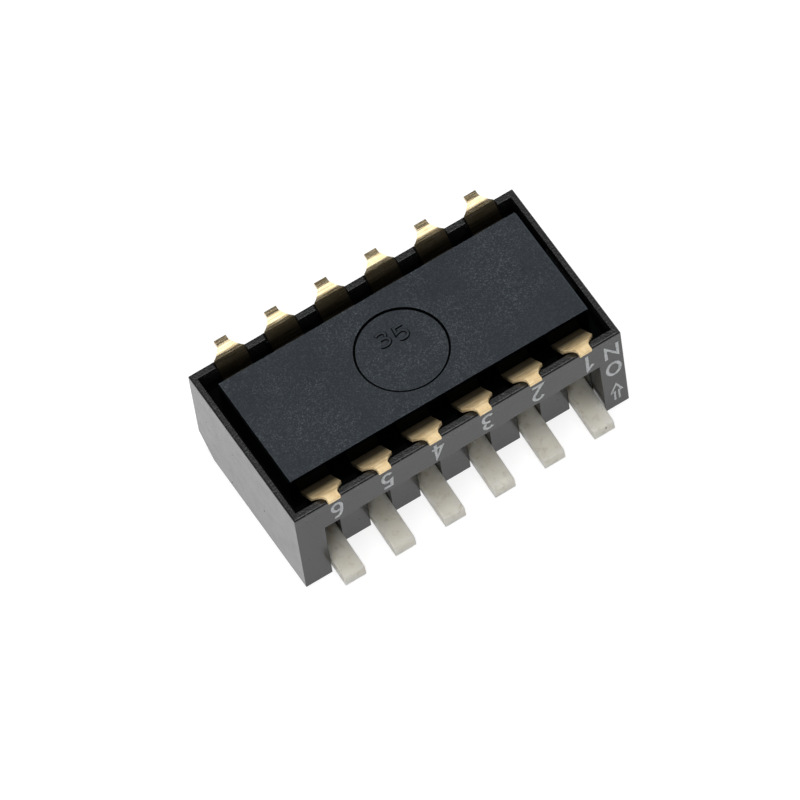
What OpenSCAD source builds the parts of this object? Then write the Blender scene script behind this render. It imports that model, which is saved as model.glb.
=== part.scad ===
// Piano-style surface-mount DIP switch: a row of side levers in a moulded cover, closed by a base
// that carries the terminals. X runs along the row, +Y is the back and +Z is the mounting side.
// The origin is the centre of the cover's flat top face, on which the switch rests.

/* [Row] */
// Number of switch positions, with position 1 at +X
positions = 6; // [2:1:10]
// Distance between neighbouring positions
pitch = 2.54; // [2.1:0.01:3.2]
// Offset of the row and the base from the cover's centre, along X
row_shift = 0.07; // [0:0.01:0.1]
// From the outermost position's centre to the cover's end face
end_margin = 1.9; // [1.75:0.05:3]

/* [Cover] */
// Depth of the cover from front to back
cover_d = 8.75; // [7.2:0.05:11]
// Height of the cover from its top face to its rim
cover_h = 5.75; // [4.75:0.05:7.5]
// Thickness of the rim along the front and back
side_wall = 0.35; // [0.28:0.01:0.5]
// Thickness of the rim at the two ends
end_wall = 0.28; // [0.22:0.01:0.45]
// Thickness of the plate behind the top face
top_t = 0.55; // [0.45:0.01:0.75]
// Height of the bevel along the back edge of the top face
bevel_h = 1.12; // [0.5:0.01:1.4]
// Depth of that bevel
bevel_d = 1.15; // [0.5:0.01:1.5]
// Depth of the finger pocket in front of the levers
pocket_depth = 1.04; // [0.8:0.01:1.3]
// Height of the marked strip between the pocket and the rim
strip_h = 1.86; // [1.6:0.01:2.2]
// Thickness of the slotted wall behind the pocket
front_wall = 0.6; // [0.45:0.01:0.75]
// Height of the lever slots above the top face
slot_h = 2.3; // [2.1:0.05:3]
// Depth of the base's seat below the rim
seat_depth = 1.3; // [1.15:0.01:1.5]
// Size of the broken outer edges
edge_break = 0.06; // [0.02:0.01:0.12]

/* [Levers] */
// Width of a lever where it passes its slot
lever_w = 1.05; // [0.85:0.01:1.3]
// Thickness of a lever outside the cover
lever_t = 0.58; // [0.45:0.01:0.7]
// How far the top corner of a lever's tip stands in front of the cover
lever_reach = 0.87; // [0.6:0.01:1.5]
// Height of that corner above the cover's top face, in the off position
tip_z = 0.65; // [0.6:0.01:0.9]
// Tilt of a lever towards the top face, in the off position
rest_tilt = 9; // [5:0.5:11]
// Angle that a lever turns through from off to on
travel = 26; // [18:0.5:30]
// Angle of the end face of a lever
tip_lean = 14; // [0:1:20]
// Distance of the pivots behind the front face
pivot_back = 3.2; // [3:0.05:3.6]
// Height of the pivots above the top face
pivot_z = 2.2; // [2.1:0.05:2.4]
// Radius of the trunnions that a lever turns on
trunnion_r = 0.4; // [0.3:0.01:0.48]
// Width of the rocker inside its bay
rocker_w = 1.4; // [1.1:0.01:1.6]

/* [Base] */
// Width of the groove round the raised plate, at the front and back
groove_d = 1.0; // [0.9:0.01:1.2]
// Width of that groove at the two ends
groove_end = 0.39; // [0.3:0.01:0.6]
// Offset of the base's plate and terminals towards the back
base_shift = 0.18; // [0:0.01:0.2]
// Thickness of the flange that sits in the cover
flange_t = 0.5; // [0.4:0.01:0.65]
// How far the raised plate stands above the cover's rim
plate_rise = 0.3; // [0.1:0.01:0.36]
// Radius of the sunk disc in the plate
disc_r = 2.1; // [1:0.05:2.4]
// Depth of the sunk disc
disc_sink = 0.06; // [0.03:0.01:0.15]

/* [Terminals] */
// Thickness of the terminal strip
strip_t = 0.2; // [0.15:0.01:0.24]
// Width of a terminal before it narrows to its foot
strip_w = 1.5; // [1.2:0.01:1.6]
// Width of a foot
foot_w = 0.6; // [0.45:0.01:0.7]
// Length of the flat of a foot
foot_l = 0.27; // [0.2:0.01:0.35]
// Height of the feet above the rim
foot_h = 0.44; // [0.4:0.01:0.55]
// How far a foot reaches beyond the plane of the cover's face, before the base's offset
foot_out = 0.415; // [0.35:0.005:0.6]
// Outer radius of the bend from a leg to its foot
arch_r = 0.55; // [0.4:0.01:0.6]
// Lean of a leg from the horizontal
leg_lean = 43; // [38:1:46]
// Radius of the hollow sides between the full width and the foot
flare_r = 0.8; // [0.5:0.05:1.2]
// Offset of the front row of terminals towards -X, and of the back row towards +X
row_skew = 0.05; // [0:0.01:0.06]

/* [Contacts] */
// Outer radius of the bowed crown of a bridge contact
crown_r = 0.45; // [0.4:0.01:0.5]
// Thickness of the bridge contact's strip
contact_t = 0.1; // [0.06:0.01:0.14]
// Width of a bridge contact along the row
contact_w = 1.2; // [0.9:0.01:1.3]
// Gap between the two terminals' pads, and between the two fingers of a contact
pad_gap = 0.16; // [0.1:0.01:0.25]

/* [Clearances] */
// Each side of a lever in its slot
slot_clear = 0.035; // [0.02:0.005:0.08]
// Between the outermost levers and the ends of the finger pocket
pocket_clear = 0.1; // [0.05:0.01:0.2]
// Each side of a rocker in its bay
bay_clear = 0.12; // [0.06:0.01:0.2]
// Round a rocker, to the wall and the plate
rocker_clear = 0.08; // [0.05:0.01:0.15]
// Radial clearance of a trunnion in its cradle
trunnion_clear = 0.04; // [0.02:0.005:0.08]
// Between the base and the cover, and round each post and each terminal in the base
fit_clear = 0.03; // [0.01:0.005:0.06]
// Between a bridge contact and the pads it slides along
contact_clear = 0.03; // [0.02:0.005:0.06]
// Between a terminal's leg and the rim
leg_clear = 0.06; // [0.04:0.01:0.1]

/* [Hidden] */
EACH = [for (n = [1 : positions]) n];
$fn = 64;
over = 1;                                       // how far a cut runs past the face it opens

// Cover
cover_l = (positions - 1) * pitch + 2 * end_margin;
front_y = -cover_d / 2;
wall_y = front_y + pocket_depth;                // outer face of the slotted wall
bay_front = wall_y + front_wall;
inner_y = cover_d / 2 - side_wall;
inner_x = cover_l / 2 - end_wall;
strip_z = cover_h - strip_h;                    // underside of the marked strip
seat_z = cover_h - seat_depth;
slot_w = lever_w + 2 * slot_clear;
bay_w = rocker_w + 2 * bay_clear;
pocket_w = (positions - 1) * pitch + lever_w + 2 * pocket_clear;
catch_l = 2.4;                                  // catches on the end walls that hold the flange
catch_in = 0.12;
catch_h = 0.3;

// Levers, in a frame with the pivot at its origin and the arm level
pivot_y = front_y + pivot_back;
hub_r = 0.68;
ledge_z = 0.72;                                 // top of the shoulders that the contact stands on
rocker_r = min(pivot_z - top_t, pivot_y - bay_front) - rocker_clear;
tip_y = front_y - lever_reach;
arm_y = (tip_y - pivot_y) * cos(rest_tilt) + (tip_z - pivot_z) * sin(rest_tilt);
arm_z = (tip_z - pivot_z) * cos(rest_tilt) - (tip_y - pivot_y) * sin(rest_tilt);
web_back = 0.3;
cradle_web = 0.24;                              // wall left between neighbouring cradles
trunnion_in = (pitch - bay_w - cradle_web) / 2 - fit_clear;
arm_break = 0.05;

// Bridge contacts
nose_tilt = travel / 2 - rest_tilt;
nose_half = crown_r - contact_t;
contact_r = seat_z - pivot_z - contact_clear;   // reach of the crown from the pivot
crown_z = contact_r - crown_r;
nose_gap = 0.1;
slide = crown_z * sin(travel / 2);              // half of the crown's travel along the pads

// Base
plate_l = 2 * (inner_x - groove_end);
plate_d = 2 * (inner_y - groove_d);
plate_z = cover_h + plate_rise;
plate_corner = 0.2;
plate_break = 0.08;
disc_x = -0.1;
disc_y = -0.1;

// Terminals, in a frame with +Y outwards from the base's centre line
foot_z = cover_h + foot_h;
tip_end = cover_d / 2 + foot_out;
arch_y = tip_end - foot_l;
arch_z = foot_z - arch_r;
bend_r = 0.15;                                  // inner radius of the bend out of the base
bend_z = seat_z + strip_t + bend_r;
bend_y = arch_y + ((bend_z - arch_z) * cos(leg_lean) - arch_r - bend_r) / sin(leg_lean);
leg_l = (arch_y - bend_y) * cos(leg_lean) + (arch_z - bend_z) * sin(leg_lean);
shoulder_y = bend_y - 0.35;                     // where the pad widens to the strip
neck = [foot_w / 2, tip_end - 0.26];            // ends of the hollow side
wing = [strip_w / 2, tip_end - 0.72];
flare = (wing - neck) / norm(wing - neck);
flare_out = [-flare.y, flare.x];
pad_w = (contact_w - pad_gap) / 2 + 0.05;
pad_over = 0.3;

function x_at(n) = row_shift + ((positions + 1) / 2 - n) * pitch;

// A profile drawn in Y and Z, as a solid of width w along X
module along_x(w) {
    rotate([90, 0, 90])
        linear_extrude(w, center = true)
            children();
}

// A profile drawn in X and Z, as a solid of depth d along Y
module along_y(d) {
    rotate([90, 0, 0])
        linear_extrude(d, center = true)
            children();
}

// A block given by its lowest and highest corners
module block(low, high) {
    translate(low)
        cube(high - low);
}

// Part of a ring of outer radius r and thickness t, between two angles. A tab inside each end
// runs into the straight piece that follows, so that the two always join.
module ring_part(r, t, from, to) {
    middle = (from + to) / 2;
    intersection() {
        difference() {
            circle(r);
            circle(r - t);
        }
        polygon([
            [0, 0],
            2 * r * [cos(from), sin(from)],
            2 * r * [cos(middle), sin(middle)],
            2 * r * [cos(to), sin(to)]]);
    }
    for (end = [from, to])
        rotate(end)
            translate([r - t / 2, 0])
                square(t / 2, center = true);
}

// A rectangle between two corners, with its two upper corners cut by b
module broken_top(low, high, b) {
    polygon([
        low, [high.x, low.y], [high.x, high.y - b], [high.x - b, high.y],
        [low.x + b, high.y], [low.x, high.y - b]]);
}

// ---- Cover ----

module cover_section() {
    polygon([
        [front_y, edge_break], [front_y + edge_break, 0],
        [-front_y - bevel_d, 0], [-front_y, bevel_h],
        [-front_y, cover_h - edge_break], [-front_y - edge_break, cover_h],
        [front_y + edge_break, cover_h], [front_y, cover_h - edge_break]]);
}

module cover_outline() {
    half = cover_l / 2;
    polygon([
        [-half, edge_break], [-half + edge_break, 0],
        [half - edge_break, 0], [half, edge_break],
        [half, cover_h - edge_break], [half - edge_break, cover_h],
        [-half + edge_break, cover_h], [-half, cover_h - edge_break]]);
}

// The bay of one rocker, with its slot to the pocket and its two cradles
module bay() {
    along_x(bay_w)
        polygon([
            [bay_front, top_t], [inner_y - bevel_d, top_t], [inner_y, top_t + bevel_h],
            [inner_y, seat_z + over], [bay_front, seat_z + over]]);
    block([-slot_w / 2, wall_y - over, -over], [slot_w / 2, bay_front, slot_h]);
    translate([0, pivot_y, pivot_z])
        rotate([rest_tilt, 0, 0])
            block([-slot_w / 2, arm_y, arm_z - lever_t - rocker_clear], [slot_w / 2, 0, arm_z]);
    cradle_r = trunnion_r + trunnion_clear;
    cradle_l = bay_w + 2 * (trunnion_in + fit_clear);
    translate([0, pivot_y, pivot_z])
        along_x(cradle_l) {
            circle(cradle_r);
            translate([-cradle_r, 0])
                square([2 * cradle_r, seat_z + over - pivot_z]);
        }
}

// Band round a terminal's leg, from its lower bend to past its upper one
module leg_band(clear) {
    translate([arch_y, arch_z])
        rotate(leg_lean)
            translate([-leg_l, arch_r - strip_t - clear])
                square([leg_l + over, strip_t + 2 * clear]);
}

// Catch on an end wall, just above the flange
module catch() {
    along_y(catch_l)
        polygon([[over / 4, 0], [-catch_in, 0], [-catch_in, catch_h / 3], [0, catch_h], [over / 4, catch_h]]);
}

module cover() {
    color([0.12, 0.12, 0.13]) {
        difference() {
            intersection() {
                along_x(cover_l) cover_section();
                along_y(cover_d) cover_outline();
            }
            block([-inner_x, -inner_y, seat_z], [inner_x, inner_y, cover_h + over]);
            translate([row_shift, 0, 0])
                block([-pocket_w / 2, front_y - over, -over], [pocket_w / 2, wall_y, strip_z]);
            for (n = EACH)
                translate([x_at(n), 0, 0]) {
                    bay();
                    translate([row_skew, base_shift, 0]) along_x(strip_w + 2 * leg_clear) leg_band(leg_clear);
                }
        }
        for (side = [0, 1])
            mirror([side, 0, 0])
                translate([inner_x, 0, seat_z + flange_t + fit_clear])
                    catch();
    }
}

// ---- Base ----

// Room in the base for one terminal: a channel for its pad and a sloped passage for its leg
module terminal_room(pad_x, pad_end) {
    half = strip_w / 2 + fit_clear;
    top = seat_z + strip_t;
    block([pad_x - fit_clear, pad_end - fit_clear, seat_z - over],
        [pad_x + pad_w + fit_clear, shoulder_y, top]);
    block([-half, shoulder_y - fit_clear, seat_z - over], [half, bend_y, top]);
    along_x(2 * half) {
        translate([bend_y, bend_z])
            ring_part(bend_r + strip_t + fit_clear, strip_t + 2 * fit_clear, -90, leg_lean - 90);
        leg_band(fit_clear);
    }
}

// Posts that close the cradles of one lever
module posts() {
    low = pivot_z + trunnion_r + trunnion_clear;
    half = trunnion_r + trunnion_clear - fit_clear;
    for (side = [0, 1])
        mirror([side, 0, 0])
            block([bay_w / 2 + fit_clear, pivot_y - half, low],
                [bay_w / 2 + trunnion_in, pivot_y + half, seat_z + flange_t / 2]);
}

// The raised plate, with round corners and broken upper edges
module plate() {
    intersection() {
        translate([0, 0, seat_z])
            linear_extrude(plate_z - seat_z) {
                square([plate_l, plate_d - 2 * plate_corner], center = true);
                square([plate_l - 2 * plate_corner, plate_d], center = true);
                for (sx = [-1, 1], sy = [-1, 1])
                    translate([sx * (plate_l / 2 - plate_corner), sy * (plate_d / 2 - plate_corner)])
                        circle(plate_corner);
            }
        along_x(plate_l + over) broken_top([-plate_d / 2, 0], [plate_d / 2, plate_z], plate_break);
        along_y(plate_d + over) broken_top([-plate_l / 2, 0], [plate_l / 2, plate_z], plate_break);
    }
}

module base() {
    color([0.2, 0.2, 0.21])
        difference() {
            union() {
                block([-inner_x + fit_clear, -inner_y + fit_clear, seat_z],
                    [inner_x - fit_clear, inner_y - fit_clear, seat_z + flange_t]);
                translate([row_shift, base_shift, 0]) plate();
                for (n = EACH) translate([x_at(n), 0, 0]) posts();
            }
            for (n = EACH)
                translate([x_at(n), base_shift, 0]) {
                    translate([row_skew, 0, 0]) terminal_room(pad_gap / 2, back_pad_end);
                    mirror([0, 1, 0])
                        translate([-row_skew, 0, 0]) terminal_room(-pad_gap / 2 - pad_w, front_pad_end);
                }
            translate([row_shift + disc_x, base_shift + disc_y, plate_z - disc_sink])
                cylinder(r = disc_r, h = over);
        }
}

// ---- Levers and bridge contacts ----

module arm_section() {
    lean = lever_t * tan(tip_lean);
    polygon([
        [arm_y + arm_break, arm_z], [arm_y, arm_z - arm_break],
        [arm_y - lean, arm_z - lever_t + arm_break], [arm_y - lean + arm_break, arm_z - lever_t],
        [0, arm_z - lever_t], [0, arm_z]]);
}

// Hub, and the web that carries the arm below it
module rocker_section() {
    circle(hub_r);
    intersection() {
        circle(rocker_r);
        translate([-rocker_r, arm_z - lever_t])
            square([rocker_r + web_back, lever_t - arm_z]);
    }
}

// The nose that carries the contact, with a shoulder on each side
module nose_section() {
    shoulder = crown_r + 0.05;
    translate([-shoulder, 0])
        square([2 * shoulder, ledge_z]);
    translate([-nose_half, 0])
        square([2 * nose_half, crown_z - nose_gap]);
}

module lever(n) {
    color([0.78, 0.76, 0.7])
        translate([x_at(n), pivot_y, pivot_z])
            rotate([rest_tilt, 0, 0]) {
                along_x(lever_w) arm_section();
                along_x(rocker_w) {
                    rocker_section();
                    rotate(nose_tilt) nose_section();
                }
                along_x(bay_w + 2 * trunnion_in) circle(trunnion_r);
            }
}

// A bowed strip over the nose, split in two fingers across its crown
module bridge_contact(n) {
    color([0.8, 0.6, 0.36])
        translate([x_at(n), pivot_y, pivot_z])
            rotate([rest_tilt + nose_tilt, 0, 0])
                difference() {
                    along_x(contact_w) {
                        translate([0, crown_z]) ring_part(crown_r, contact_t, 0, 90);
                        translate([0, crown_z]) ring_part(crown_r, contact_t, 90, 180);
                        for (side = [-crown_r, nose_half])
                            translate([side, ledge_z])
                                square([contact_t, crown_z - ledge_z]);
                    }
                    block([-pad_gap / 2, -crown_r - over, crown_z - nose_gap / 2],
                        [pad_gap / 2, crown_r + over, crown_z + crown_r + over]);
                }
}

// ---- Terminals ----

// Where the pads end: both are under the crown when the lever is on, and one when it is off
front_pad_end = base_shift - (pivot_y + slide + pad_over);
back_pad_end = pivot_y - base_shift;

// The bent strip from the side: pad, bend, leg, upper bend and flat foot
module strip_section(pad_end) {
    translate([pad_end, seat_z])
        square([bend_y - pad_end, strip_t]);
    translate([bend_y, bend_z])
        ring_part(bend_r + strip_t, strip_t, -90, leg_lean - 90);
    translate([arch_y, arch_z]) {
        rotate(leg_lean)
            translate([-leg_l, arch_r - strip_t])
                square([leg_l, strip_t]);
        ring_part(arch_r, strip_t, 90, 90 + leg_lean);
        translate([0, arch_r - strip_t])
            square([foot_l, strip_t]);
    }
}

// The strip from above: one narrow pad, the full width, and hollow sides down to the foot
module strip_plan(pad_x, pad_end) {
    translate([pad_x, pad_end])
        square([pad_w, shoulder_y + strip_t - pad_end]);
    difference() {
        polygon([
            [-wing.x, shoulder_y], [wing.x, shoulder_y], wing, neck, [neck.x, tip_end],
            [-neck.x, tip_end], [-neck.x, neck.y], [-wing.x, wing.y]]);
        for (side = [0, 1])
            mirror([side, 0, 0])
                intersection() {
                    translate((neck + wing) / 2 + flare_out * sqrt(pow(flare_r, 2) - pow(norm(wing - neck) / 2, 2)))
                        circle(flare_r);
                    polygon([neck - flare_out, neck + flare_out, wing + flare_out, wing - flare_out]);
                }
    }
}

module terminal(pad_x, pad_end) {
    color([0.82, 0.68, 0.4])
        intersection() {
            along_x(strip_w) strip_section(pad_end);
            translate([0, 0, seat_z - over])
                linear_extrude(cover_h)
                    strip_plan(pad_x, pad_end);
        }
}

module front_terminal(n) {
    translate([x_at(n), base_shift, 0])
        mirror([0, 1, 0])
            translate([-row_skew, 0, 0]) terminal(-pad_gap / 2 - pad_w, front_pad_end);
}

module back_terminal(n) {
    translate([x_at(n) + row_skew, base_shift, 0])
        terminal(pad_gap / 2, back_pad_end);
}

cover();
base();
for (n = EACH) {
    lever(n);
    bridge_contact(n);
    front_terminal(n);
    back_terminal(n);
}
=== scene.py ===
"""Looks of a six-position piano-style DIP switch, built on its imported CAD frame. All sizes are in metres."""
import math

import bmesh
import bpy
from mathutils import Matrix, Vector


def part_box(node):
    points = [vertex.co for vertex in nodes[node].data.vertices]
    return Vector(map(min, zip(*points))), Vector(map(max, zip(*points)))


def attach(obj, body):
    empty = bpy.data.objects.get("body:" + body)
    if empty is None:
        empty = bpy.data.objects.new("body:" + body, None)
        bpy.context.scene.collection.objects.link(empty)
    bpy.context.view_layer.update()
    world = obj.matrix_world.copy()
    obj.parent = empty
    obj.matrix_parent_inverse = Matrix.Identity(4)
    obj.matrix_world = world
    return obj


MM = 0.001
POSITIONS = range(1, 7)

# Camera: the direction it looks from and its roll in degrees, its distance, its lens in millimetres, and its
# aim, which is a height above the origin, moved right and up in the picture
CAM_AZIMUTH = -23.76
CAM_ELEVATION = 59.55
CAM_ROLL = -9.45
CAM_DISTANCE = 482 * MM
CAM_LENS = 503
AIM_HEIGHT = 2.9 * MM
AIM_RIGHT = -0.41 * MM
AIM_UP = -0.55 * MM

# Light: a soft sky that is brightest overhead, as (sine of the elevation, level), and a low soft fill
SKY = (
    (0.0, 0.26), (0.34, 0.22), (0.46, 0.04), (0.7, 0.05),
    (0.87, 0.16), (0.92, 1.8), (0.96, 4.4), (1.0, 5.4),
)
FILL_PLACE = (-0.95, -0.95, 0.62)
FILL_WIDTH = 0.8
FILL_POWER = 5

# Floor: it lies just below the object. Where it is seen or mirrored, it glows and has a darker colour, so that
# it looks white and still shows a shadow; for diffuse light it doesn't glow, and has the paler colour
FLOOR_HALF = 0.6
FLOOR_DROP = 0.01 * MM
FLOOR_GLOW = 0.82
FLOOR_ALBEDO = 0.8
FLOOR_SHOWN_ALBEDO = 0.34

# Print on the front face: stroke, how far the ink stands out, and how far each mark reaches into its face
INK_WIDTH = 0.155 * MM
INK_PROUD = 0.006 * MM
SUNK = 0.004 * MM

# Position numbers: size, height of their middles, and how far they stand beside the levers' middles
NUMBER_SIZE = (0.72 * MM, 1.3 * MM)
NUMBER_Z = 4.75 * MM
NUMBER_SHIFT = 0.09 * MM

# Marks on the cheek beside position 1, as (piece, glyph, height of its middle, size, stroke)
CHEEK_X = 7.7 * MM
CHEEK_MARKS = (
    ("mark_on_n", "N", 4.62 * MM, (0.82 * MM, 1.15 * MM), INK_WIDTH),
    ("mark_on_o", "O", 3.17 * MM, (0.88 * MM, 1.18 * MM), INK_WIDTH),
    ("mark_arrow", "arrow", 1.25 * MM, (0.64 * MM, 1.4 * MM), 0.095 * MM),
)

# The base's sunk disc, and the raised numbers in it, as (piece, glyph, middle)
DISC_DEPTH = 0.06 * MM
DISC_CENTRE = (-0.03 * MM, 0.08 * MM)
DISC_RADIUS = 2.1 * MM
MOULD_MARKS = (("mould_3", "3", (-0.44 * MM, 0.98 * MM)), ("mould_5", "5", (0.4 * MM, 0.85 * MM)))
MOULD_SIZE = (0.72 * MM, 0.84 * MM)
MOULD_STROKE = 0.1 * MM
MOULD_DRAFT = 0.05 * MM
RAISED = 0.05 * MM

# Rounding of the edges, as (width, segments). Faces that meet at less than the flat angle are merged, edges
# sharper than the edge angle are rounded (both in degrees), and vertices nearer than the weld gap are one
COVER_ROUND = (0.05 * MM, 2)
LEVER_ROUND = (0.04 * MM, 3)
FLAT_ANGLE = 1
EDGE_ANGLE = 30
WELD_GAP = 1e-9

# Base colours, each as the two ends of its slow variation, and small details on them
COVER_BLACK = ((0.009, 0.0095, 0.010), (0.012, 0.0125, 0.013))
COVER_DUST = (0.03, 0.03, 0.03)
RIM_FLECK = (0.08, 0.08, 0.078)
BASE_BLACK = ((0.005, 0.0078, 0.011), (0.009, 0.0122, 0.016))
BASE_GRAIN = (0.075, 0.085, 0.096)
# Painted shade: the near-black of the base's walls, its groove and the line inside the disc's edge
PAINTED_SHADE_BLACK = (0.0035, 0.004, 0.0045)
NYLON = ((0.72, 0.685, 0.59), (0.81, 0.775, 0.68))
NYLON_SMUDGE = (0.56, 0.5, 0.4)
NYLON_SPECK = (0.1, 0.09, 0.07)
GOLD = ((0.82, 0.64, 0.37), (0.94, 0.79, 0.52))
GOLD_WORN = (0.72, 0.68, 0.62)
BRONZE = ((0.66, 0.42, 0.2), (0.8, 0.56, 0.3))
INK_THIN = (0.26, 0.27, 0.28)
INK_FULL = (0.58, 0.6, 0.61)

# Depth below the rim down to which the cover is dusty
RIM_DUST = 0.5 * MM

# The base's textured face lies within this depth below its top, where the Z of the normal is at least this
FACE_BAND = 0.07 * MM
LEVEL_NORMAL = 0.8
FACE_ROUGH = 0.46

# Painted shade on its walls, its groove and the painted shadow line inside the disc's edge: they are smooth,
# and a metallic value near 1 on a near-black colour takes the plastic's reflection away from them. The line is
# given by its half width and its middle's distance from the disc's edge
GROOVE_ROUGH = 0.1
PAINTED_SHADE_METAL = 0.95
SHADOW_LINE_HALF = 0.05 * MM
SHADOW_LINE_IN = 0.035 * MM

# Distances in from the tip of a foot at which its bend and its toe begin, and how steeply each one falls
BEND_START = 0.74 * MM
TOE_START = 0.44 * MM
BEND_SLOPE = 0.28
TOE_SLOPE = 0.08

# Terminals by row: roughness, and the painted shade on the leg and the arch, as how bright each is left. The
# leg's painted shade darkens it towards the plate and ends at leg_end. The arch's painted shade dims the back
# arches' highlight and fades out between the two values of ARCH_FADE, as shares of the way from the middle to
# the tips
ARCH_FADE = (0.915, 0.95)
GOLD_ROWS = {
    "front": {"rough": (0.64, 0.74), "leg": 0.12, "leg_end": 0.73, "arch_painted_shade": 1.0},
    "back": {"rough": (0.2, 0.28), "leg": 0.1, "leg_end": 0.77, "arch_painted_shade": 0.45},
}


# ---- Camera, stage and light ----

def camera():
    azimuth, elevation, roll = (math.radians(a) for a in (CAM_AZIMUTH, CAM_ELEVATION, CAM_ROLL))
    back = Vector((math.sin(azimuth) * math.cos(elevation), -math.cos(azimuth) * math.cos(elevation),
                   math.sin(elevation)))
    level = Vector((math.cos(azimuth), math.sin(azimuth), 0))
    upright = back.cross(level)
    right = level * math.cos(roll) + upright * math.sin(roll)
    up = upright * math.cos(roll) - level * math.sin(roll)
    data = bpy.data.cameras.new("camera")
    data.lens = CAM_LENS
    data.clip_start = 0.01
    data.clip_end = 10
    cam = bpy.data.objects.new("camera", data)
    place = Vector((0, 0, AIM_HEIGHT)) + right * AIM_RIGHT + up * AIM_UP + back * CAM_DISTANCE
    turn = Matrix((right, up, back)).transposed().to_4x4()
    cam.matrix_world = Matrix.Translation(place) @ turn
    bpy.context.scene.collection.objects.link(cam)
    bpy.context.scene.camera = cam


def shown_ray(tree):
    """A socket that is 1 for camera, glossy and transmission rays, and 0 for rays of diffuse light."""
    path = tree.nodes.new("ShaderNodeLightPath")
    total = None
    for name in ("Is Camera Ray", "Is Glossy Ray", "Is Transmission Ray"):
        socket = path.outputs[name]
        if total is not None:
            socket = math_node(tree, "MAXIMUM", total, socket)
        total = socket
    return total


def floor():
    """A white floor that still takes the object's soft shadow."""
    mesh = bpy.data.meshes.new("floor")
    corners = [(x * FLOOR_HALF, y * FLOOR_HALF, 0) for x, y in ((-1, -1), (1, -1), (1, 1), (-1, 1))]
    mesh.from_pydata(corners, [], [(0, 1, 2, 3)])
    obj = bpy.data.objects.new("floor", mesh)
    obj.location.z = -FLOOR_DROP
    bpy.context.scene.collection.objects.link(obj)
    mat = bpy.data.materials.new("floor_white")
    mat.use_nodes = True
    tree = mat.node_tree
    shader = tree.nodes["Principled BSDF"]
    shown = shown_ray(tree)
    colour = blend(tree, shown, grey(FLOOR_ALBEDO), grey(FLOOR_SHOWN_ALBEDO))
    tree.links.new(colour, shader.inputs["Base Color"])
    shader.inputs["Roughness"].default_value = 0.9
    shader.inputs["Specular IOR Level"].default_value = 0
    shader.inputs["Emission Color"].default_value = (1, 1, 1, 1)
    tree.links.new(math_node(tree, "MULTIPLY", shown, FLOOR_GLOW), shader.inputs["Emission Strength"])
    mesh.materials.append(mat)


def light():
    world = bpy.data.worlds.new("studio")
    world.use_nodes = True
    tree = world.node_tree
    coords = tree.nodes.new("ShaderNodeTexCoord")
    rise = axis(tree, coords.outputs["Generated"], "Z")
    top = max(level for _, level in SKY)
    level = ramp(tree, rise, *((place, grey(level / top)) for place, level in SKY))
    background = tree.nodes["Background"]
    tree.links.new(level, background.inputs["Color"])
    background.inputs["Strength"].default_value = top
    bpy.context.scene.world = world
    fill = bpy.data.lights.new("fill", "AREA")
    fill.shape = "DISK"
    fill.size = FILL_WIDTH
    fill.energy = FILL_POWER
    holder = bpy.data.objects.new("fill", fill)
    holder.location = FILL_PLACE
    holder.rotation_euler = Vector(FILL_PLACE).to_track_quat("Z", "Y").to_euler()
    bpy.context.scene.collection.objects.link(holder)


# ---- Node helpers ----

def feed(tree, source, socket):
    """Links a socket, or sets a plain number."""
    if isinstance(source, (int, float)):
        socket.default_value = source
    else:
        tree.links.new(source, socket)


def math_node(tree, operation, first, second=0.0, third=0.0):
    node = tree.nodes.new("ShaderNodeMath")
    node.operation = operation
    for source, socket in zip((first, second, third), node.inputs):
        feed(tree, source, socket)
    return node.outputs[0]


def new_material(name):
    """A material, its Principled shader, and its coordinates in the shared frame."""
    mat = bpy.data.materials.new(name)
    mat.use_nodes = True
    tree = mat.node_tree
    coords = tree.nodes.new("ShaderNodeTexCoord")
    return mat, tree, tree.nodes["Principled BSDF"], coords.outputs["Object"]


def axis(tree, coords, letter):
    split = tree.nodes.new("ShaderNodeSeparateXYZ")
    tree.links.new(coords, split.inputs[0])
    return split.outputs[letter]


def noise(tree, coords, size, detail=2.0, rough=0.5):
    """Noise whose features are about that size, in metres."""
    node = tree.nodes.new("ShaderNodeTexNoise")
    node.inputs["Scale"].default_value = 1 / size
    node.inputs["Detail"].default_value = detail
    node.inputs["Roughness"].default_value = rough
    tree.links.new(coords, node.inputs["Vector"])
    return node.outputs["Fac"]


def ramp(tree, factor, *stops):
    """A colour ramp through (position, colour) stops."""
    node = tree.nodes.new("ShaderNodeValToRGB")
    elements = node.color_ramp.elements
    while len(elements) < len(stops):
        elements.new(0.5)
    for element, (position, colour) in zip(elements, stops):
        element.position = position
        element.color = (*colour, 1)
    tree.links.new(factor, node.inputs["Fac"])
    return node.outputs["Color"]


def vary(tree, coords, size, detail, ends):
    """A colour that drifts between two ends, over about that size."""
    return ramp(tree, noise(tree, coords, size, detail), (0.3, ends[0]), (0.7, ends[1]))


def blend(tree, factor, first, second, kind="MIX"):
    """Mixes two colours, each a socket or a plain colour."""
    node = tree.nodes.new("ShaderNodeMix")
    node.data_type = "RGBA"
    node.blend_type = kind
    feed(tree, factor, node.inputs["Factor"])
    for source, socket in ((first, node.inputs["A"]), (second, node.inputs["B"])):
        if isinstance(source, tuple):
            socket.default_value = (*source, 1)
        else:
            tree.links.new(source, socket)
    return node.outputs["Result"]


def grey(value):
    return (value, value, value)


def bump(tree, shader, height, distance, strength=1.0):
    node = tree.nodes.new("ShaderNodeBump")
    node.inputs["Strength"].default_value = strength
    node.inputs["Distance"].default_value = distance
    tree.links.new(height, node.inputs["Height"])
    tree.links.new(node.outputs["Normal"], shader.inputs["Normal"])


# ---- Materials ----

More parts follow.
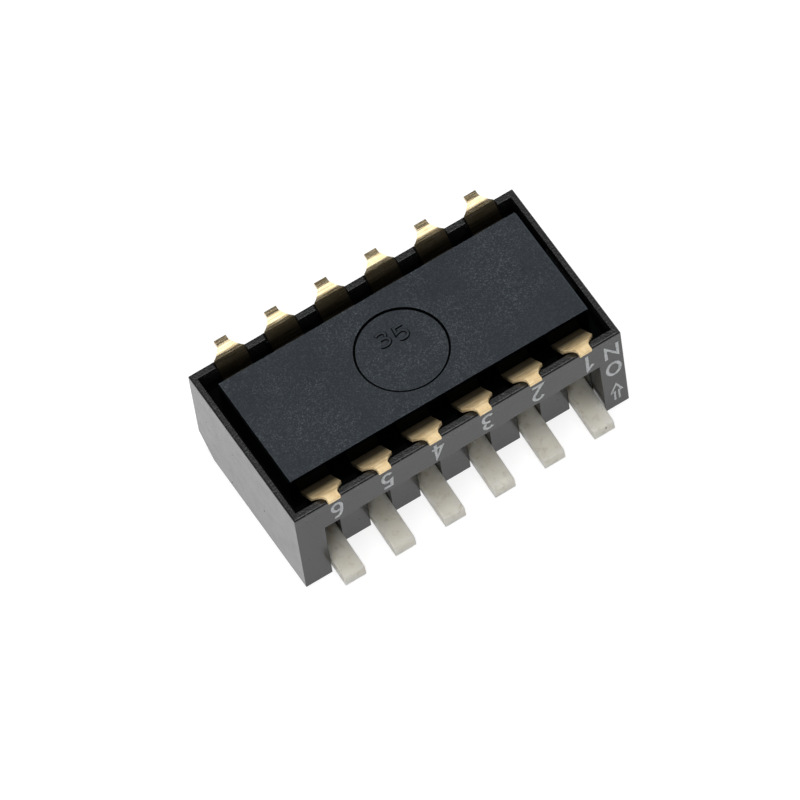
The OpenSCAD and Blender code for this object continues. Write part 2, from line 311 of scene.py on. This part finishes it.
def cover_plastic():
    """Smooth black moulding, with a little dust and a few small pits."""
    mat, tree, shader, coords = new_material("cover_black")
    tone = vary(tree, coords, 1.6 * MM, 3, COVER_BLACK)
    dust = ramp(tree, noise(tree, coords, 0.12 * MM, 3, 0.65), (0.6, grey(0)), (0.72, grey(1)))
    rim = math_node(tree, "GREATER_THAN", axis(tree, coords, "Z"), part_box("cover")[1][2] - RIM_DUST)
    fleck = blend(tree, rim, COVER_DUST, RIM_FLECK)
    tree.links.new(blend(tree, dust, tone, fleck), shader.inputs["Base Color"])
    rough = vary(tree, coords, 0.7 * MM, 3, (grey(0.15), grey(0.22)))
    pits = ramp(tree, noise(tree, coords, 0.2 * MM, 2), (0.235, grey(0)), (0.275, grey(1)))
    tree.links.new(blend(tree, pits, grey(0.75), rough), shader.inputs["Roughness"])
    grain = math_node(tree, "ADD", pits, noise(tree, coords, 0.2 * MM, 3, 0.6))
    rim_grain = math_node(tree, "MULTIPLY", noise(tree, coords, 0.09 * MM, 3, 0.6), rim)
    bump(tree, shader, math_node(tree, "MULTIPLY_ADD", rim_grain, 3.0, grain), 0.004 * MM, 0.8)
    return mat


def base_plastic():
    """Black moulding with a textured outer face; its walls and groove are smoother and carry painted shade,
    near black and nearly unreflective, with a painted shadow line inside the disc's edge.
    """
    mat, tree, shader, coords = new_material("base_black")
    outer = math_node(tree, "GREATER_THAN", axis(tree, coords, "Z"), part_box("base")[1][2] - FACE_BAND)
    facing = tree.nodes.new("ShaderNodeNewGeometry").outputs["Normal"]
    wall = math_node(tree, "LESS_THAN", math_node(tree, "ABSOLUTE", axis(tree, facing, "Z")), LEVEL_NORMAL)
    radius = tree.nodes.new("ShaderNodeVectorMath")
    radius.operation = "DISTANCE"
    flat = tree.nodes.new("ShaderNodeCombineXYZ")
    tree.links.new(axis(tree, coords, "X"), flat.inputs["X"])
    tree.links.new(axis(tree, coords, "Y"), flat.inputs["Y"])
    tree.links.new(flat.outputs[0], radius.inputs[0])
    radius.inputs[1].default_value = (*DISC_CENTRE, 0)
    # Painted shadow line: a dark ring just inside the disc's edge, all the way round
    painted_shadow_line = math_node(tree, "COMPARE", radius.outputs["Value"], DISC_RADIUS - SHADOW_LINE_IN, SHADOW_LINE_HALF)
    tone = vary(tree, coords, 1.8 * MM, 4, BASE_BLACK)
    speck = ramp(tree, noise(tree, coords, 0.07 * MM, 3, 0.7), (0.5, grey(0)), (0.68, grey(1)))
    patch = ramp(tree, noise(tree, coords, 2.6 * MM, 2), (0.38, grey(0.35)), (0.6, grey(1)))
    grainy = blend(tree, math_node(tree, "MULTIPLY", speck, patch), tone, BASE_GRAIN)
    # Painted shade: the walls, the groove and the shadow line lose the textured face and take the near-black,
    # nearly unreflective finish
    face = math_node(tree, "SUBTRACT", math_node(tree, "SUBTRACT", outer, painted_shadow_line), wall)
    textured = math_node(tree, "MAXIMUM", face, 0.0)
    tree.links.new(blend(tree, textured, PAINTED_SHADE_BLACK, grainy), shader.inputs["Base Color"])
    shade_metallic = math_node(tree, "MULTIPLY_ADD", textured, -PAINTED_SHADE_METAL, PAINTED_SHADE_METAL)
    tree.links.new(shade_metallic, shader.inputs["Metallic"])
    rough = math_node(tree, "MULTIPLY_ADD", textured, FACE_ROUGH - GROOVE_ROUGH, GROOVE_ROUGH)
    tree.links.new(rough, shader.inputs["Roughness"])
    shader.inputs["Specular Tint"].default_value = (0.84, 0.92, 1.0, 1)
    grain = math_node(tree, "MULTIPLY", noise(tree, coords, 0.08 * MM, 4, 0.7), textured)
    bump(tree, shader, grain, 0.03 * MM)
    return mat


def lever_plastic():
    """Natural nylon: warm pale grey, slightly translucent, with smudges and a few dark specks."""
    mat, tree, shader, coords = new_material("lever_plastic")
    tone = vary(tree, coords, 0.9 * MM, 3, NYLON)
    smudge = ramp(tree, noise(tree, coords, 0.35 * MM, 4, 0.6), (0.53, grey(0)), (0.68, grey(0.6)))
    handled = blend(tree, smudge, tone, NYLON_SMUDGE)
    speck = ramp(tree, noise(tree, coords, 0.3 * MM, 1), (0.19, grey(1)), (0.22, grey(0)))
    tree.links.new(blend(tree, speck, handled, NYLON_SPECK), shader.inputs["Base Color"])
    rough = vary(tree, coords, 0.5 * MM, 2, (grey(0.38), grey(0.5)))
    tree.links.new(rough, shader.inputs["Roughness"])
    shader.inputs["Subsurface Weight"].default_value = 0.7
    shader.inputs["Subsurface Radius"].default_value = (1, 0.9, 0.75)
    shader.inputs["Subsurface Scale"].default_value = 1.1 * MM
    bump(tree, shader, noise(tree, coords, 0.16 * MM, 3), 0.004 * MM, 0.5)
    return mat


def gold(row):
    """Thin gold plate over a rolled strip: fine lines across the strip, toes that droop slightly, and painted
    shade on the legs and arches.
    """
    look = GOLD_ROWS[row]
    mat, tree, shader, coords = new_material(f"gold_{row}")
    stretch = tree.nodes.new("ShaderNodeMapping")
    stretch.inputs["Scale"].default_value = (0.05, 1, 1)
    tree.links.new(coords, stretch.inputs["Vector"])
    lines = noise(tree, stretch.outputs["Vector"], 0.07 * MM, 3, 0.65)
    tone = vary(tree, coords, 0.3 * MM, 3, GOLD)
    worn = ramp(tree, lines, (0.3, GOLD_WORN), (0.5, grey(1)))
    shader.inputs["Metallic"].default_value = 1
    rough = ramp(tree, lines, *zip((0.3, 0.7), map(grey, look["rough"])))
    tree.links.new(rough, shader.inputs["Roughness"])
    front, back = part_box("front_terminal_1")[0][1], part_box("back_terminal_1")[1][1]
    tip, middle = (back - front) / 2, (back + front) / 2
    out = math_node(tree, "ABSOLUTE", math_node(tree, "SUBTRACT", axis(tree, coords, "Y"), middle))
    leg, end, arch_painted_shade = look["leg"], look["leg_end"], look["arch_painted_shade"]
    # Painted shade: the leg darkens towards the plate, and the arch is darkened to dim its highlight, up to
    # full brightness near the tip
    shade = ramp(tree, math_node(tree, "DIVIDE", out, tip),
                 (end, grey(leg)), (end + 0.05, grey((arch_painted_shade + leg) / 2)), (end + 0.09, grey(arch_painted_shade)),
                 (ARCH_FADE[0], grey(arch_painted_shade)), (ARCH_FADE[1], grey(1)))
    shown = blend(tree, 1.0, blend(tree, 1.0, tone, worn, "MULTIPLY"), shade, "MULTIPLY")
    tree.links.new(shown, shader.inputs["Base Color"])
    bend = math_node(tree, "MAXIMUM", math_node(tree, "SUBTRACT", out, tip - BEND_START), 0.0)
    toe = math_node(tree, "MAXIMUM", math_node(tree, "SUBTRACT", out, tip - TOE_START), 0.0)
    fall = math_node(tree, "MULTIPLY", bend, -BEND_SLOPE)
    droop = math_node(tree, "MULTIPLY_ADD", toe, BEND_SLOPE - TOE_SLOPE, fall)
    # This height is in metres already, so the bump's distance is 1
    height = math_node(tree, "MULTIPLY_ADD", lines, 0.008 * MM, droop)
    bump(tree, shader, height, 1.0)
    return mat


def contact_bronze():
    """Spring bronze, slightly mottled."""
    mat, tree, shader, coords = new_material("contact_bronze")
    tree.links.new(vary(tree, coords, 0.3 * MM, 2, BRONZE), shader.inputs["Base Color"])
    shader.inputs["Metallic"].default_value = 1
    tree.links.new(vary(tree, coords, 0.2 * MM, 3, (grey(0.24), grey(0.38))), shader.inputs["Roughness"])
    return mat


def ink():
    """Grey-white printing ink, thin and slightly broken."""
    mat, tree, shader, coords = new_material("ink")
    tone = ramp(tree, noise(tree, coords, 0.09 * MM, 3, 0.7), (0.3, INK_THIN), (0.5, INK_FULL))
    tree.links.new(tone, shader.inputs["Base Color"])
    shader.inputs["Roughness"].default_value = 0.6
    bump(tree, shader, noise(tree, coords, 0.05 * MM, 3), 0.002 * MM, 0.5)
    return mat


def paint(obj, mat):
    obj.data.materials.clear()
    obj.data.materials.append(mat)


def ease_edges(obj, width, segments):
    """Joins a CAD node's faces, which are loaded apart, merges the flat ones and rounds their edges."""
    weld = obj.modifiers.new("weld", "WELD")
    weld.merge_threshold = WELD_GAP
    flat = obj.modifiers.new("flat", "DECIMATE")
    flat.decimate_type = "DISSOLVE"
    flat.angle_limit = math.radians(FLAT_ANGLE)
    bevel = obj.modifiers.new("edges", "BEVEL")
    bevel.width = width
    bevel.segments = segments
    bevel.limit_method = "ANGLE"
    bevel.angle_limit = math.radians(EDGE_ANGLE)
    bevel.harden_normals = True


# ---- Print ----

def arc(x, y, rx, ry, start, end, steps=14):
    """Points on an ellipse from one angle to another, in degrees."""
    angles = [math.radians(start + (end - start) * k / steps) for k in range(steps + 1)]
    return [(x + rx * math.cos(a), y + ry * math.sin(a)) for a in angles]


# A stroke whose ends are nearer than this share of its width is closed. Its mitred corners reach out to at most
# 1 / MITRE_LIMIT half widths
CLOSED_GAP = 0.2
MITRE_LIMIT = 0.4

# Each mark is a list of strokes in a box one unit wide and one high, as it is read upright
GLYPHS = {
    "1": [[(0.06, 0.72), (0.56, 0.98), (0.56, 0.0)]],
    "2": [arc(0.5, 0.74, 0.42, 0.24, 165, -35) + [(0.08, 0.05), (0.95, 0.05)]],
    "3": [arc(0.48, 0.755, 0.38, 0.2, 150, -52), [(0.3, 0.535)] + arc(0.46, 0.285, 0.44, 0.25, 85, -145)],
    "4": [[(0.98, 0.27), (0.08, 0.27), (0.66, 0.97), (0.66, 0.33)], [(0.66, 0.21), (0.66, 0.0)]],
    "5": [[(0.88, 0.95), (0.2, 0.95), (0.14, 0.54)] + arc(0.48, 0.33, 0.42, 0.28, 118, -140)],
    "6": [arc(0.62, 0.5, 0.5, 0.46, 70, 172, 10) + arc(0.5, 0.3, 0.4, 0.26, 180, 484, 22)],
    "N": [[(0.06, 0.0), (0.06, 0.9), (0.94, 0.1), (0.94, 1.0)]],
    "O": [arc(0.5, 0.5, 0.45, 0.45, 0, 360, 28)],
    "arrow": [[(0.3, 0.0), (0.3, 0.5), (0.02, 0.5), (0.5, 0.95), (0.98, 0.5), (0.7, 0.5), (0.7, 0.0)]],
}


def strip_sides(points, width):
    """The two sides of a flat strip that follows the points, with mitred corners."""
    closed = (Vector(points[0]) - Vector(points[-1])).length < CLOSED_GAP * width
    path = [Vector(p) for p in (points[:-1] if closed else points)]
    sides = []
    for k, point in enumerate(path):
        before = path[k - 1] if k or closed else None
        after = path[(k + 1) % len(path)] if k + 1 < len(path) or closed else None
        way_in = (point - before).normalized() if before else None
        way_out = (after - point).normalized() if after else None
        mean = ((way_in or way_out) + (way_out or way_in)).normalized()
        stretch = 1 / max(mean.dot(way_in or way_out), MITRE_LIMIT)
        across = Vector((-mean.y, mean.x)) * width / 2 * stretch
        sides.append((point + across, point - across))
    return sides, closed


def mark(name, glyph, centre, size, stroke, place, depths, mat, turned=False, draft=0.0):
    """A mark made of flat strips, from depths[0] to depths[1] above its face.

    place(x, y, depth) puts a point there. The strips grow wider by the draft on each side, down to depths[0].
    """
    way = -1 if turned else 1
    verts, faces = [], []
    for points in GLYPHS[glyph]:
        placed = [tuple(c + way * (p - 0.5) * (s - stroke) for c, p, s in zip(centre, point, size))
                  for point in points]
        sides, closed = strip_sides(placed, stroke)
        feet, _ = strip_sides(placed, stroke + 2 * draft)
        start = len(verts)
        for (left, right), (foot_left, foot_right) in zip(sides, feet):
            verts += [place(*left, depths[1]), place(*right, depths[1]),
                      place(*foot_right, depths[0]), place(*foot_left, depths[0])]
        count = len(sides)
        for k in range(count if closed else count - 1):
            here, there = start + 4 * k, start + 4 * ((k + 1) % count)
            faces += [(here + i, there + i, there + (i + 1) % 4, here + (i + 1) % 4) for i in range(4)]
        if not closed:
            last = start + 4 * (count - 1)
            faces += [(start, start + 1, start + 2, start + 3), (last + 3, last + 2, last + 1, last)]
    mesh = bpy.data.meshes.new(name)
    mesh.from_pydata(verts, [], faces)
    shell = bmesh.new()
    shell.from_mesh(mesh)
    bmesh.ops.recalc_face_normals(shell, faces=shell.faces)
    shell.to_mesh(mesh)
    shell.free()
    mesh.materials.append(mat)
    obj = bpy.data.objects.new(name, mesh)
    bpy.context.scene.collection.objects.link(obj)
    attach(obj, "housing")


def printed(name, glyph, centre, size, stroke=INK_WIDTH, turned=False):
    """A mark printed on the cover's front face."""
    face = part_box("cover")[0][1]
    mark(name, glyph, centre, size, stroke, lambda x, z, depth: (x, face - depth, z),
         (-SUNK, INK_PROUD), ink_grey, turned)


def moulded(name, glyph, centre):
    """A raised number in the base's sunk disc."""
    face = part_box("base")[1][2] - DISC_DEPTH
    mark(name, glyph, centre, MOULD_SIZE, MOULD_STROKE, lambda x, y, depth: (x, y, face + depth),
         (-SUNK, RAISED), base_black, draft=MOULD_DRAFT)


# ---- The scene ----

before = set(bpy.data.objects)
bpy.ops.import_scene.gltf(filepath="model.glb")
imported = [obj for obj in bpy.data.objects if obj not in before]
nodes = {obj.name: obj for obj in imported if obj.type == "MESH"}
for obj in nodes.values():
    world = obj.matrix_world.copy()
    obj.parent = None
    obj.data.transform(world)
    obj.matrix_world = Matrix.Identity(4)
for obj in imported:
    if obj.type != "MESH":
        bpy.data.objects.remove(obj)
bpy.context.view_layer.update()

cover_black = cover_plastic()
base_black = base_plastic()
lever_grey = lever_plastic()
terminal_gold = {row: gold(row) for row in GOLD_ROWS}
bronze = contact_bronze()
ink_grey = ink()

paint(nodes["cover"], cover_black)
paint(nodes["base"], base_black)
ease_edges(nodes["cover"], *COVER_ROUND)
for n in POSITIONS:
    paint(nodes[f"lever_{n}"], lever_grey)
    ease_edges(nodes[f"lever_{n}"], *LEVER_ROUND)
    paint(nodes[f"bridge_contact_{n}"], bronze)
    for row, finish in terminal_gold.items():
        paint(nodes[f"{row}_terminal_{n}"], finish)

for n in POSITIONS:
    middle = sum(corner[0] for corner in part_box(f"lever_{n}")) / 2
    printed(f"mark_{n}", str(n), (middle + NUMBER_SHIFT, NUMBER_Z), NUMBER_SIZE, turned=True)
for name, glyph, height, size, stroke in CHEEK_MARKS:
    printed(name, glyph, (CHEEK_X, height), size, stroke)
for name, glyph, centre in MOULD_MARKS:
    moulded(name, glyph, centre)

camera()
floor()
light()
bpy.context.scene.view_settings.view_transform = "Standard"
